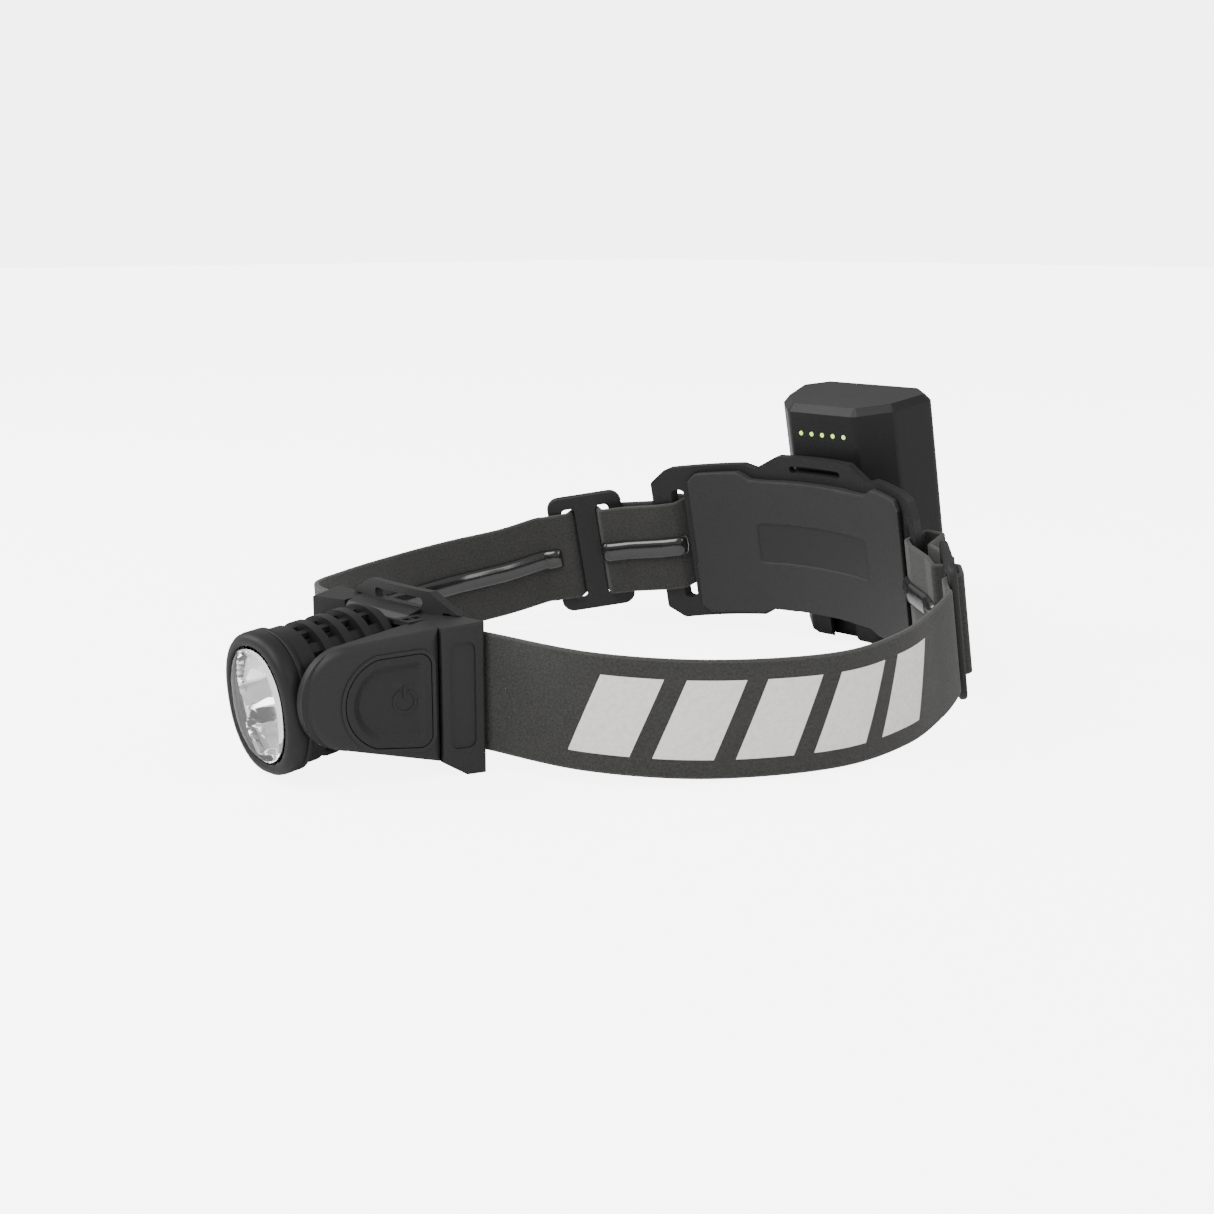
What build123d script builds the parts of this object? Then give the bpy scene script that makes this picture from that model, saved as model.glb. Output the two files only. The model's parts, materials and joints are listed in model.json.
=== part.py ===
from build123d import *
import math
import os

# Headlamp on an adjustable head strap. Millimetres, +Z up, the lamp faces -Y,
# the wearer's left is +X. The part stands on the floor as it does on a table.

# ------------------------------------------------------------- driving dimensions
STRAP_WIDTH = 30.0        # elastic webbing
STRAP_THICK = 1.4
GRIP_WIDTH = 5.8          # silicone strip inside the webbing
GRIP_THICK = 0.8
WALL = 1.5                # moulded housings
FIT = 0.25                # gap round a button or a slide-on part
RUN = 0.05                # radial running fit of a pin

ARM_TILT = 17.65          # plan angle of the side arms from the Y axis
ARM_REAR = (31.0, -72.0)  # outer rear edge of the left arm, in plan
HOLDER_LENGTH = 11.4      # strap holder, along the arm
HOLDER_HEIGHT = 38.5
HOLDER_FOOT = 5.0         # flat underside that the headlamp stands on
EAR_RADIUS = 13.0         # round front end of the arm
EAR_FORWARD = 33.4        # its centre, along the arm from the rear edge
EAR_HEIGHT = 22.4
CHEEK_GAP = 15.2          # inner face of the cheek plates from the middle plane
CHEEK_THICK = 2.0
BUTTON_REAR = 14.2        # rear edge of the button, along the arm
BUTTON_FLANGE = 0.6
BUTTON_DEEP = WALL + 0.6  # back of the button's flange
BUTTON_TRAVEL = 0.5
EAR_ROUND = 2.6           # rounding of the arm's outer edge
PLAIN_ARM_SLIM = 4.6      # the arm without electronics is this much slimmer, above and below
BROW_END = 9.5            # the ledge behind the lamp head stops here, short of the button's arm
DECK_HOLES = (-82.0, -79.2)

PIVOT = (-100.0, 20.6)    # head pivot, y and z
HEAD_DROOP = 6.0          # the lamp looks slightly down at rest
HEAD_RISE = 0.8           # optical axis above the pivot
BEZEL_HALF = (14.4, 18.0)
LENS_HALF = (11.1, 14.5)
SINK_HALF = (13.4, 17.2)
HEAD_REACH = 2.0          # the optics sit this far ahead of the pivot
RING_PITCH = 5.9          # cooling rings and the grooves between them
RING_GROOVE = 3.6
RING_COUNT = 4
HEAD_SWING = 24.0         # radius that the tilting head keeps within behind the pivot
PIVOT_PIN_RADIUS = 2.5
SCREW_HEAD = 4.0

LEAN = 12.0               # the rear of the headband leans, top forward
REAR_ORIGIN = (86.3, 53.0)
PAD_RADIUS = 83.0
PAD_THICK = 3.0
PLATE_RADIUS = 78.0
PLATE_THICK = 2.5
PLATE_HALF = 53.5
PLATE_TOP = 5.0
PLATE_BOTTOM = -47.5
STRAP_MID_V = -21.5       # middle of the webbing on the rear plate
SLOT_INNER = 45.4         # strap slot of the rear plate
SLOT_WIDTH = 3.4

SLIDER = (74.15, -30.6)   # slider centre, x and depth in the leaning frame
SLIDER_TURN = 48.0
SLIDER_LENGTH = 25.0
SLIDER_HEIGHT = 40.6
SLIDER_THICK = 2.4
SLIDER_SLOT = 4.4
SLIDER_BAR = 7.0

BATTERY_FRONT = 8.2       # depth of the battery's front face
BATTERY_DEPTH = 29.6
BATTERY_TOP = 23.2
BATTERY_BOTTOM = -56.0
CELL_RADIUS = 9.2
CELL_LENGTH = 65.0
RAIL_NECK = 5.0
RAIL_HEAD = 8.0

# ------------------------------------------------------------- frames
arm_angle = math.radians(ARM_TILT)
ARM_BACK = (math.sin(arm_angle), math.cos(arm_angle), 0)
ARM_OUT = (math.cos(arm_angle), -math.sin(arm_angle), 0)
SIDE = Plane(origin=(ARM_REAR[0], ARM_REAR[1], 0), x_dir=ARM_BACK, z_dir=ARM_OUT)
droop = math.radians(HEAD_DROOP)
HEAD_FORWARD = (0, -math.cos(droop), -math.sin(droop))
HEAD_ORIGIN = (0, PIVOT[0] + HEAD_FORWARD[1] * HEAD_REACH, PIVOT[1] + HEAD_FORWARD[2] * HEAD_REACH)
HEAD = Plane(origin=HEAD_ORIGIN, x_dir=(1, 0, 0), z_dir=HEAD_FORWARD)
lean = math.radians(LEAN)
REAR_UP = (0, -math.sin(lean), math.cos(lean))
REAR = Plane(origin=(0, REAR_ORIGIN[0], REAR_ORIGIN[1]), x_dir=(1, 0, 0), z_dir=REAR_UP)
turn = math.radians(SLIDER_TURN)
SLIDER_ALONG = (-math.cos(turn), math.sin(turn))
SLIDER_OUT = (math.sin(turn), math.cos(turn))

BATTERY_BACK = BATTERY_FRONT + BATTERY_DEPTH
STRAP_TOP_V = STRAP_MID_V + STRAP_WIDTH / 2
STRAP_BOTTOM_V = STRAP_MID_V - STRAP_WIDTH / 2
parts = {}


# ------------------------------------------------------------- helpers
def block(x, y, z):
    """A box between the given pairs of limits."""
    middle = [(pair[0] + pair[1]) / 2 for pair in (x, y, z)]
    return Pos(*middle) * Box(x[1] - x[0], y[1] - y[0], z[1] - z[0])


def outline(*points, radius=0.0):
    """A face from corner points, with equal rounded corners."""
    face = make_face(Polyline(*points, close=True))
    return fillet(face.vertices(), radius) if radius else face


def mirrored(points):
    """Closes a half outline (x >= 0, listed from the top middle to the bottom middle)."""
    return points + [(-x, y) for x, y in reversed(points) if x > 0]


def prism(face, low, high):
    return extrude(Pos(0, 0, low) * face, amount=high - low)


def side_prism(face, deep, out):
    """Extrudes along the arm's outward normal; the sketch is (-forward, height)."""
    return SIDE * prism(face, deep, out)


def other_side(shape):
    return mirror(shape, about=Plane.YZ)


def pair(name, shape):
    parts[name + "_left"] = shape
    parts[name + "_right"] = other_side(shape)


def oval(half, grow=0.0):
    """A rounded-rectangle-like closed curve round the optical axis."""
    power = 2 / 2.25
    points = []
    for step in range(24):
        angle = step * math.tau / 24
        c, s = math.cos(angle), math.sin(angle)
        x = math.copysign(abs(c) ** power, c) * (half[0] + grow)
        y = math.copysign(abs(s) ** power, s) * (half[1] + grow)
        points.append((x, HEAD_RISE + y))
    return make_face(Spline(*points, periodic=True))


def barrel(half, low, high, grow=0.0):
    return prism(oval(half, grow), low, high)


def taper(half_low, low, half_high, high):
    return loft([Pos(0, 0, low) * oval(half_low), Pos(0, 0, high) * oval(half_high)])


def arc_band(radius, depth, thick, half):
    """Plan of a curved plate: concave towards the head, its inner face at the given depth."""
    centre = depth - radius
    ring = Pos(0, centre) * (Circle(radius + thick) - Circle(radius))
    keep = Pos(0, depth) * Rectangle(2 * half, 3 * half)
    front = Pos(0, centre + radius) * Rectangle(2 * half, 2 * radius)
    return ring & keep & front


def curved_plate(radius, depth, thick, face):
    """A curved plate cut to an outline given in (x, v)."""
    band = arc_band(radius, depth, thick, PLATE_HALF + 1)
    slab = prism(band, -80, 40)
    cutter = extrude(Plane.XZ * face, amount=-90) + extrude(Plane.XZ * face, amount=90)
    return slab & cutter


# ------------------------------------------------------------- lamp head
def bezel():
    body = barrel(BEZEL_HALF, 9.0, 14.2)
    body += taper(BEZEL_HALF, 14.2, (BEZEL_HALF[0] - 0.9, BEZEL_HALF[1] - 0.9), 15.9)
    body -= barrel(LENS_HALF, 8.0, 17.0, grow=0.15)
    body -= barrel(LENS_HALF, 8.0, 14.6, grow=1.15)
    return HEAD * body


def lens():
    body = barrel(LENS_HALF, 12.9, 14.5, grow=1.0)
    body += barrel(LENS_HALF, 14.5, 16.2)
    body += taper(LENS_HALF, 16.2, (LENS_HALF[0] - 2.0, LENS_HALF[1] - 2.2), 17.3)
    return HEAD * body


def lens_gasket():
    return HEAD * (barrel(LENS_HALF, 12.3, 12.9, grow=1.1) - barrel(LENS_HALF, 12.0, 13.0))


REFLECTOR_BASE = (7.4, 10.6)
REFLECTOR_MOUTH = (LENS_HALF[0] + 0.3, LENS_HALF[1] + 0.3)
BOWLS = ((HEAD_RISE + 5.6, 7.6), (HEAD_RISE - 7.2, 6.0))


def reflector():
    body = taper(REFLECTOR_BASE, 0.9, REFLECTOR_MOUTH, 12.2)
    inside = barrel(LENS_HALF, -2, 20, grow=-0.4)
    for rise, mouth in BOWLS:
        bowl = Pos(0, rise, 6.9) * Cone(1.9, mouth, 12.2)
        body -= bowl & inside
    return HEAD * body


def led_board():
    return HEAD * barrel(REFLECTOR_BASE, -0.8, 0.8, grow=-0.2)


def led_emitters():
    chips = [Pos(0, rise, 1.2) * Box(2.4, 2.4, 0.8) for rise, _ in BOWLS]
    return HEAD * Compound(chips)


def ring_grooves():
    """(low, high) of each groove between the cooling rings."""
    return [(4.6 - RING_GROOVE - k * RING_PITCH, 4.6 - k * RING_PITCH) for k in range(RING_COUNT)]


def pivot_cylinder(radius, length):
    return Pos(0, 0, -HEAD_REACH) * Rot(0, 90, 0) * Cylinder(radius, length)


def heat_sink():
    shell = barrel(SINK_HALF, -19.0, 8.9) - barrel(SINK_HALF, -17.4, 6.6, grow=-2.6)
    for low, high in ring_grooves():
        shell -= barrel(SINK_HALF, low, high, grow=0.5) - barrel(SINK_HALF, low, high, grow=-1.4)
        for column in range(-2, 3):
            shell -= Pos(column * 5.2, 0, (low + high) / 2) * Box(3.4, 60, high - low)
    core = barrel((8.7, 12.1), -18.0, 7.5)
    body = shell + core + pivot_cylinder(6.5, 2 * (CHEEK_GAP - 0.8))
    rim = [size - 0.55 for size in REFLECTOR_MOUTH]
    body -= barrel(REFLECTOR_BASE, -0.8, 0.9)
    body -= taper(REFLECTOR_BASE, 0.9, rim, 10.2)
    body -= pivot_cylinder(PIVOT_PIN_RADIUS + RUN, 60)
    front = Pos(0, 0, 30.0 - HEAD_REACH) * Box(60, 60, 60)
    return HEAD * (body & (front + pivot_cylinder(HEAD_SWING, 60)))


def head_rear_cap():
    cap = taper((9.0, 10.4), -23.6, (SINK_HALF[0] - 0.2, SINK_HALF[1] - 0.2), -19.0)
    return HEAD * (cap & pivot_cylinder(HEAD_SWING, 60))


# ------------------------------------------------------------- forehead bracket
def arm_face(slim=0.0):
    """Side view of the ear, from the strap holder to the round front end."""
    rear = -HOLDER_LENGTH - 0.1
    radius = EAR_RADIUS - slim
    top = (-EAR_FORWARD, EAR_HEIGHT + radius)
    nose = (-EAR_FORWARD - radius, EAR_HEIGHT)
    angle = math.radians(-97)
    low = (-EAR_FORWARD + radius * math.cos(angle), EAR_HEIGHT + radius * math.sin(angle))
    sides = Polyline(low, (rear, 3.9 + slim), (rear, HOLDER_HEIGHT - 0.9 - slim), top)
    return make_face(sides + ThreePointArc(top, nose, low))


def holder_face():
    front = -HOLDER_LENGTH
    return make_face(Polyline((0, 0.0), (0, HOLDER_HEIGHT), (front, HOLDER_HEIGHT - 0.9),
                              (front, 3.9), (-HOLDER_FOOT, 0.0), close=True))


def inside_cut():
    """Everything on the head's side of the arm covers."""
    limit = CHEEK_GAP + CHEEK_THICK
    return block((-60, limit), (-140, -40), (-20, 80))


def button_face(grow=0.0):
    upper, lower = (-27.5, 31.6), (-28.3, 10.0)
    sides = Polyline(lower, (-BUTTON_REAR, 8.6), (-BUTTON_REAR, 32.2), upper)
    face = make_face(sides + ThreePointArc(upper, (-35.6, 20.4), lower))
    rear = face.vertices().sort_by(Axis.X)[-2:]
    face = fillet(rear, 3.0)
    return offset(face, amount=grow) if grow else face


def brow():
    """Rounded ledge behind the lamp head, and the deck that joins it to the button's arm."""
    reach = CHEEK_GAP + 1.0
    rear = BRACKET_FACE - 0.5
    profile = outline((rear, 38.8), (-76.0, 38.5), (-79.0, 37.6), (-80.2, 36.0), (-79.6, 34.3),
                      (-77.8, 33.6), (rear, 33.6))
    side = Plane(origin=(-reach, 0, 0), x_dir=(0, 1, 0), z_dir=(1, 0, 0))
    ledge = side * prism(fillet(profile.vertices().sort_by(Axis.X)[:3], 0.9), 0, reach + BROW_END)
    deck = block((BROW_END + 0.5, reach), (-84.0, rear), (36.4, 37.6))
    holes = [Pos(12.9, y, 37.0) * Box(2.2, 2.2, 6) for y in DECK_HOLES]
    return ledge + (deck - Compound(holes))


def arm_cover(opening):
    slim = 0.0 if opening else PLAIN_ARM_SLIM
    body = side_prism(arm_face(slim), -24, 0)
    body = fillet(body.faces().sort_by(Axis(SIDE.origin, SIDE.z_dir))[-1].edges(), EAR_ROUND)
    if opening:
        body -= side_prism(offset(button_face(), amount=BUTTON_FLANGE + 0.4), -30, -WALL)
        rim = side_prism(button_face(FIT + 0.9), -0.5, 0.35)
        body += rim
        body -= side_prism(button_face(FIT), -WALL - 1, 2)
    else:
        body -= side_prism(offset(arm_face(slim), amount=-2 * EAR_ROUND), -30, -WALL)
    return body - inside_cut()


SWITCH_PLACE = (-19.8, 20.6)
BOARD_DEEP = BUTTON_DEEP + 0.6 + BUTTON_TRAVEL + 1.2


def power_button():
    body = side_prism(button_face(), -BUTTON_DEEP, 0.3)
    body -= SIDE * loft([Pos(0, 0, 0.31) * button_face(-1.8), Pos(0, 0, -0.7) * button_face(-3.4)])
    body += side_prism(button_face(BUTTON_FLANGE), -BUTTON_DEEP, -BUTTON_DEEP + 0.4)
    body += side_prism(Pos(*SWITCH_PLACE) * Circle(1.8), -BUTTON_DEEP - 0.6, -BUTTON_DEEP)
    ring = Circle(3.1) - Circle(2.4) - Pos(0, 3) * Rectangle(2.2, 4)
    mark = Pos(-20.8, 20.6) * (ring + Pos(0, 2.3) * Rectangle(0.7, 3.0))
    body += side_prism(mark, -0.9, -0.45)
    return body


def button_seal():
    front = -BUTTON_DEEP - BUTTON_TRAVEL - 0.1
    sheet = button_face(0.5) - Pos(*SWITCH_PLACE) * Circle(2.2)
    return side_prism(sheet, front - 0.4, front) - inside_cut()


def power_switch():
    return side_prism(Pos(*SWITCH_PLACE) * Rectangle(5.2, 5.2), -BOARD_DEEP, -BOARD_DEEP + 1.1)


def switch_board():
    return side_prism(Pos(*SWITCH_PLACE) * Rectangle(11.0, 16.0), -BOARD_DEEP - 0.8, -BOARD_DEEP)


def strap_holder():
    body = side_prism(holder_face(), -24, 0)
    body = fillet(body.faces().sort_by(Axis(SIDE.origin, SIDE.z_dir))[-1].edges(), 0.8)
    panel = Pos(-5.9, 20.4) * RectangleRounded(6.6, 26.8, 2.0)
    body -= side_prism(panel, -0.5, 1)
    low, high = 20.3 - STRAP_WIDTH / 2 - 0.4, 20.3 + STRAP_WIDTH / 2 + 0.4
    body -= SIDE * block((-9.6, -1.6), (low, high), (-8.8, -1.6))
    body -= SIDE * block((-2, 2), (low, high), (HOLDER_STRAP_N - 1.0, HOLDER_STRAP_N + 1.0))
    body -= block((0, 40), (HOLDER_BACK, -50), (-1, 60))
    return body - inside_cut() - strap_pin()


HOLDER_BACK = -72.0        # the holder ends here behind the bracket
HOLDER_STRAP_N = -3.0      # middle of the webbing below the arm's outer face
STRAP_PIN = (-6.0, HOLDER_STRAP_N - 2.1)
STRAP_PIN_RADIUS = 1.3


def strap_pin():
    body = Cylinder(STRAP_PIN_RADIUS, STRAP_WIDTH + 3.8)
    return SIDE * (Pos(STRAP_PIN[0], 20.3, STRAP_PIN[1]) * Rot(90, 0, 0) * body)


def cheek(slim=0.0):
    top = (-103.8, 35.0 - slim)
    nose = (-116.4 + slim, EAR_HEIGHT)
    low = (-105.2, 9.8 + slim)
    rear = BRACKET_FACE - 0.8
    sides = Polyline(low, (-82.0, 4.2 + slim), (rear, 1.4 + slim), (rear, 38.0 - slim / 2),
                     (-83.0, 37.2 - slim), top)
    face = make_face(sides + ThreePointArc(top, nose, low))
    plane = Plane(origin=(CHEEK_GAP, 0, 0), x_dir=(0, 1, 0), z_dir=(1, 0, 0))
    body = plane * prism(face, 0, CHEEK_THICK)
    hole = Pos(CHEEK_GAP, *PIVOT) * Rot(0, 90, 0) * Cylinder(PIVOT_PIN_RADIUS, 10)
    seat = Pos(CHEEK_GAP + CHEEK_THICK, *PIVOT) * Rot(0, 90, 0) * Cylinder(SCREW_HEAD, 2.0)
    return body - hole - seat


BRACKET_RADIUS = 120.0
BRACKET_FACE = -73.0


def bracket_plate():
    limit = CHEEK_GAP + CHEEK_THICK
    half = [(12.5, 43.4), (22.0, 38.7), (limit, 38.7), (limit, 1.2)]
    face = outline(*mirrored(half))
    face -= Pos(0, 40.3) * RectangleRounded(20.0, 2.4, 1.1)
    for side in (-1, 1):
        face -= Pos(side * 8.4, 33.4) * RectangleRounded(3.4, 2.2, 0.8)
    ring = Circle(BRACKET_RADIUS + 2.4) - Circle(BRACKET_RADIUS)
    band = Pos(0, BRACKET_FACE + BRACKET_RADIUS) * ring
    band &= Pos(0, BRACKET_FACE) * Rectangle(50, 20)
    slab = prism(band, 0, 50)
    cutter = extrude(Plane.XZ * face, amount=110)
    return slab & cutter


def bracket():
    return bracket_plate() + cheek() + other_side(cheek(PLAIN_ARM_SLIM)) + brow()


def forehead_pad():
    face = Pos(0, 16.8) * RectangleRounded(46.0, 26.0, 5.0)
    ring = Circle(BRACKET_RADIUS) - Circle(BRACKET_RADIUS - 4.0)
    band = Pos(0, BRACKET_FACE + BRACKET_RADIUS) * ring
    band &= Pos(0, BRACKET_FACE) * Rectangle(50, 20)
    return prism(band, 0, 50) & extrude(Plane.XZ * face, amount=110)


def pivot_screws():
    screws = []
    for side in (-1, 1):
        limit = CHEEK_GAP + CHEEK_THICK
        shank = Pos(side * (limit + 11.5) / 2, *PIVOT) * Rot(0, 90, 0)
        head = Pos(side * (limit - 0.5), *PIVOT) * Rot(0, 90, 0) * Cylinder(SCREW_HEAD, 1.0)
        screws.append(shank * Cylinder(PIVOT_PIN_RADIUS, limit - 11.5) + head)
    return Compound(screws)


def friction_washers():
    rings = []
    for side in (-1, 1):
        ring = Cylinder(6.2, 0.7) - Cylinder(PIVOT_PIN_RADIUS + RUN, 2)
        rings.append(Pos(side * (CHEEK_GAP - 0.4), *PIVOT) * Rot(0, 90, 0) * ring)
    return Compound(rings)


# ------------------------------------------------------------- webbing
# Lower edge and climb direction of the left strap, from the holder to the slider.
STRAP_LOW = [(30.3, -72.6, 5.3), (55.2, -61.1, 3.7), (75.2, -39.2, 1.5), (89.2, -8.5, 0.9),
             (92.6, 16.0, 2.6), (88.6, 37.0, 5.0)]
STRAP_HIGH = [(30.3, -72.6, 35.3), (57.6, -61.2, 33.6), (77.0, -38.6, 31.4), (90.3, -9.4, 30.8),
              (91.8, 13.1, 32.4), (87.6, 31.6, 34.8)]


def rear_point(x, depth, v):
    return REAR.from_local_coords(Vector(x, depth, v))


def slider_point(along, out):
    """A point of the leaning plan, from the slider's own directions."""
    x = SLIDER[0] + along * SLIDER_ALONG[0] + out * SLIDER_OUT[0]
    depth = SLIDER[1] + along * SLIDER_ALONG[1] + out * SLIDER_OUT[1]
    return (x, depth)


STRAP_BEHIND = -(SLIDER_THICK + STRAP_THICK) / 2 - 0.1
SLIDER_START = -SLIDER_LENGTH / 2 - 2.0
ARCH_RISE = 4.0           # webbing over the slider's middle bar


def strap_stations(width, offset_in):
    """Section frames along the front run: middle, up and inward directions."""
    anchor = SIDE.from_local_coords(Vector(-2.0, 5.3, HOLDER_STRAP_N))
    mouth = SIDE.from_local_coords(Vector(0.6, 5.3, HOLDER_STRAP_N))
    lows = [anchor, mouth] + [Vector(*p) for p in STRAP_LOW[1:]]
    highs = [p + Vector(0, 0, STRAP_WIDTH) for p in lows[:2]]
    highs += [Vector(*p) for p in STRAP_HIGH[1:]]
    end = slider_point(SLIDER_START, STRAP_BEHIND)
    before = slider_point(SLIDER_START - 3.0, STRAP_BEHIND)
    for x, depth in (before, end):
        lows.append(rear_point(x, depth, STRAP_BOTTOM_V))
        highs.append(rear_point(x, depth, STRAP_TOP_V))
    stations = []
    middles = [(a + b) / 2 for a, b in zip(lows, highs)]
    for index, middle in enumerate(middles):
        ahead = middles[min(index + 1, len(middles) - 1)]
        behind = middles[max(index - 1, 0)]
        along = (ahead - behind).normalized()
        if index < 2:
            along = Vector(*ARM_BACK)
        if index > len(middles) - 3:
            step = rear_point(*end, 0) - rear_point(*before, 0)
            along = step.normalized()
        up = (highs[index] - lows[index]).normalized()
        inward = up.cross(along).normalized()
        up = along.cross(inward).normalized()
        stations.append((middle + inward * offset_in, up * (width / 2), inward))
    return stations


def swept_band(width, thick, offset_in, first=0, last=None):
    sections = []
    for middle, up, inward in strap_stations(width, offset_in)[first:last]:
        side = inward * (thick / 2)
        corners = [middle + up + side, middle + up - side, middle - up - side, middle - up + side]
        sections.append(make_face(Polyline(*corners, close=True)))
    return loft(sections)


def ribbon(points, radii, thick):
    """Plan of a flat band that follows filleted straight runs."""
    line = FilletPolyline(*points, radius=radii)
    return make_face(offset(line, amount=thick / 2, side=Side.BOTH))


def plate_depth(x, offset_out):
    """Depth of the rear plate's inner face moved outwards, at the given x."""
    radius = PLATE_RADIUS + offset_out
    return PAD_THICK - PLATE_RADIUS + math.sqrt(radius * radius - x * x)


def rear_run_points():
    """Middle line of the webbing through the slider, round the plate's end bar and back."""
    arch = SLIDER_BAR / 2 + 0.9
    lay = STRAP_THICK + 0.1
    inner = STRAP_BEHIND
    slot_x = SLOT_INNER + SLOT_WIDTH / 2
    end_x = PLATE_HALF + 1.6
    weave = [slider_point(SLIDER_START, inner), slider_point(-arch - 1.4, inner),
             slider_point(-arch, ARCH_RISE), slider_point(arch, ARCH_RISE),
             slider_point(arch + 1.0, inner - lay)]
    lead = [(slot_x + 12.5, plate_depth(slot_x + 12.5, 0) - 3.0), (slot_x + 3.4, plate_depth(slot_x, 0) - 6.4),
            (slot_x, plate_depth(slot_x, 0) - 2.0)]
    back = [(slot_x, plate_depth(slot_x, PLATE_THICK) + 4.6), (end_x, plate_depth(slot_x, PLATE_THICK) + 5.0),
            (end_x + 7.0, plate_depth(slot_x, PLATE_THICK) - 1.2), slider_point(SLIDER_LENGTH / 2 - 2.6, -inner)]
    return weave + lead + back


def strap():
    points = rear_run_points()
    radii = [1.0, 1.9, 1.9, 1.0, 5.0, 2.6, 1.6, 2.0, 2.6, 8.0]
    plan = ribbon(points, radii, STRAP_THICK)
    rear = REAR * prism(plan, STRAP_BOTTOM_V, STRAP_TOP_V)
    front = swept_band(STRAP_WIDTH, STRAP_THICK, 0)
    ring = Circle(STRAP_PIN_RADIUS + 0.1 + STRAP_THICK) - Circle(STRAP_PIN_RADIUS + 0.1)
    loop = SIDE * (Pos(STRAP_PIN[0], 20.3, STRAP_PIN[1]) * Rot(90, 0, 0) * extrude(ring, STRAP_WIDTH / 2, both=True))
    link = SIDE * block((STRAP_PIN[0], -1.9), (5.3, 35.3), (HOLDER_STRAP_N - 0.7, HOLDER_STRAP_N + 0.7))
    return front + rear + loop + link


def grip_strip():
    inset = STRAP_THICK / 2 + GRIP_THICK / 2 + 0.02
    band = swept_band(GRIP_WIDTH, GRIP_THICK, inset, first=2, last=-1)
    return band - swept_band(STRAP_WIDTH, STRAP_THICK, 0)


# ------------------------------------------------------------- sliders
def slider():
    face = RectangleRounded(SLIDER_LENGTH, SLIDER_HEIGHT, 4.0)
    slot = RectangleRounded(SLIDER_SLOT, STRAP_WIDTH + 2.0, 1.4)
    for side in (-1, 1):
        face -= Pos(side * (SLIDER_BAR + SLIDER_SLOT) / 2, 0) * slot
    body = prism(face, -SLIDER_THICK / 2, SLIDER_THICK / 2)
    outer = body.faces().sort_by(Axis.Z)
    body = fillet(outer[0].outer_wire().edges() + outer[-1].outer_wire().edges(), 0.9)
    where = rear_point(*SLIDER, STRAP_MID_V)
    along = REAR.from_local_coords(Vector(*slider_point(1, 0), 0)) - REAR.from_local_coords(Vector(*SLIDER, 0))
    out = REAR.from_local_coords(Vector(*slider_point(0, 1), 0)) - REAR.from_local_coords(Vector(*SLIDER, 0))
    return Plane(origin=where, x_dir=along, z_dir=out) * body


# ------------------------------------------------------------- rear plate
def plate_face():
    top, bottom = PLATE_TOP, PLATE_BOTTOM
    half = [(14.7, top + 2.7), (23.0, top - 1.6), (27.0, top), (49.5, top), (PLATE_HALF, top - 4),
            (PLATE_HALF, bottom + 4.5), (49.5, bottom), (25.0, bottom), (20.5, bottom + 2.8)]
    face = fillet(outline(*mirrored(half)).vertices(), 1.6)
    slot = RectangleRounded(SLOT_WIDTH, STRAP_WIDTH + 8.0, 1.5)
    for side in (-1, 1):
        face -= Pos(side * (SLOT_INNER + SLOT_WIDTH / 2), STRAP_MID_V) * slot
    return face - Pos(0, PLATE_TOP - 1.4) * RectangleRounded(20.5, 2.2, 1.0)


def rear_plate():
    return REAR * curved_plate(PLATE_RADIUS, PAD_THICK, PLATE_THICK, plate_face())


def pad_face():
    half = [(19.0, 0.0), (23.5, 0.4), (27.5, 3.0), (40.5, 3.0), (43.0, 0.4), (43.4, -43.0),
            (41.0, -46.0), (24.5, -46.0), (20.5, -44.6)]
    return fillet(outline(*mirrored(half)).vertices(), 0.9)


LABEL = (44.6, 13.4, -21.3)


def rear_pad():
    outer = prism(arc_band(PAD_RADIUS, 0, 30, PLATE_HALF), -80, 40)
    behind = prism(arc_band(PLATE_RADIUS, PAD_THICK, 60, PLATE_HALF), -80, 40)
    cutter = extrude(Plane.XZ * pad_face(), amount=90, both=True)
    body = (outer & cutter) - behind
    recess = prism(arc_band(PAD_RADIUS - 1, -1, 1.7, 40), -80, 40)
    mark = Pos(0, LABEL[2]) * RectangleRounded(LABEL[0], LABEL[1], 1.0)
    return REAR * (body - (recess & extrude(Plane.XZ * mark, amount=90, both=True)))


def pad_label():
    band = prism(arc_band(PAD_RADIUS + 0.35, 0.35, 0.33, 40), -80, 40)
    mark = Pos(0, LABEL[2]) * RectangleRounded(LABEL[0] - 0.3, LABEL[1] - 0.3, 0.9)
    return REAR * (band & extrude(Plane.XZ * mark, amount=90, both=True))


# ------------------------------------------------------------- battery and its dock
RAIL_TOP, RAIL_BOTTOM = -4.0, -40.0


def battery_dock():
    plan = Pos(0, BATTERY_FRONT / 2) * Rectangle(40.0, BATTERY_FRONT - 0.4)
    plan -= Pos(0, PAD_THICK - PLATE_RADIUS) * Circle(PLATE_RADIUS + PLATE_THICK)
    body = prism(plan, -42.0, 0.0)
    body += block((-RAIL_NECK, RAIL_NECK), (7.5, 10.0), (RAIL_BOTTOM, RAIL_TOP))
    body += block((-RAIL_HEAD, RAIL_HEAD), (9.9, 11.4), (RAIL_BOTTOM, RAIL_TOP))
    return REAR * body


def dock_screws():
    screws = []
    for x in (-15, 15):
        for v in (-8, -34):
            depth = plate_depth(x, 0) + 0.1
            shank = Pos(x, depth + 1.9, v) * Rot(90, 0, 0) * Cylinder(1.2, 3.6)
            screws.append(shank)
    return REAR * Compound(screws)


def contact_pins():
    pins = [Pos(x, 11.4, -12.0) * Rot(90, 0, 0) * Cylinder(0.8, 0.4) for x in (-4.5, 0, 4.5)]
    return REAR * Pos(0, 0.2, 0) * Compound(pins)


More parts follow.
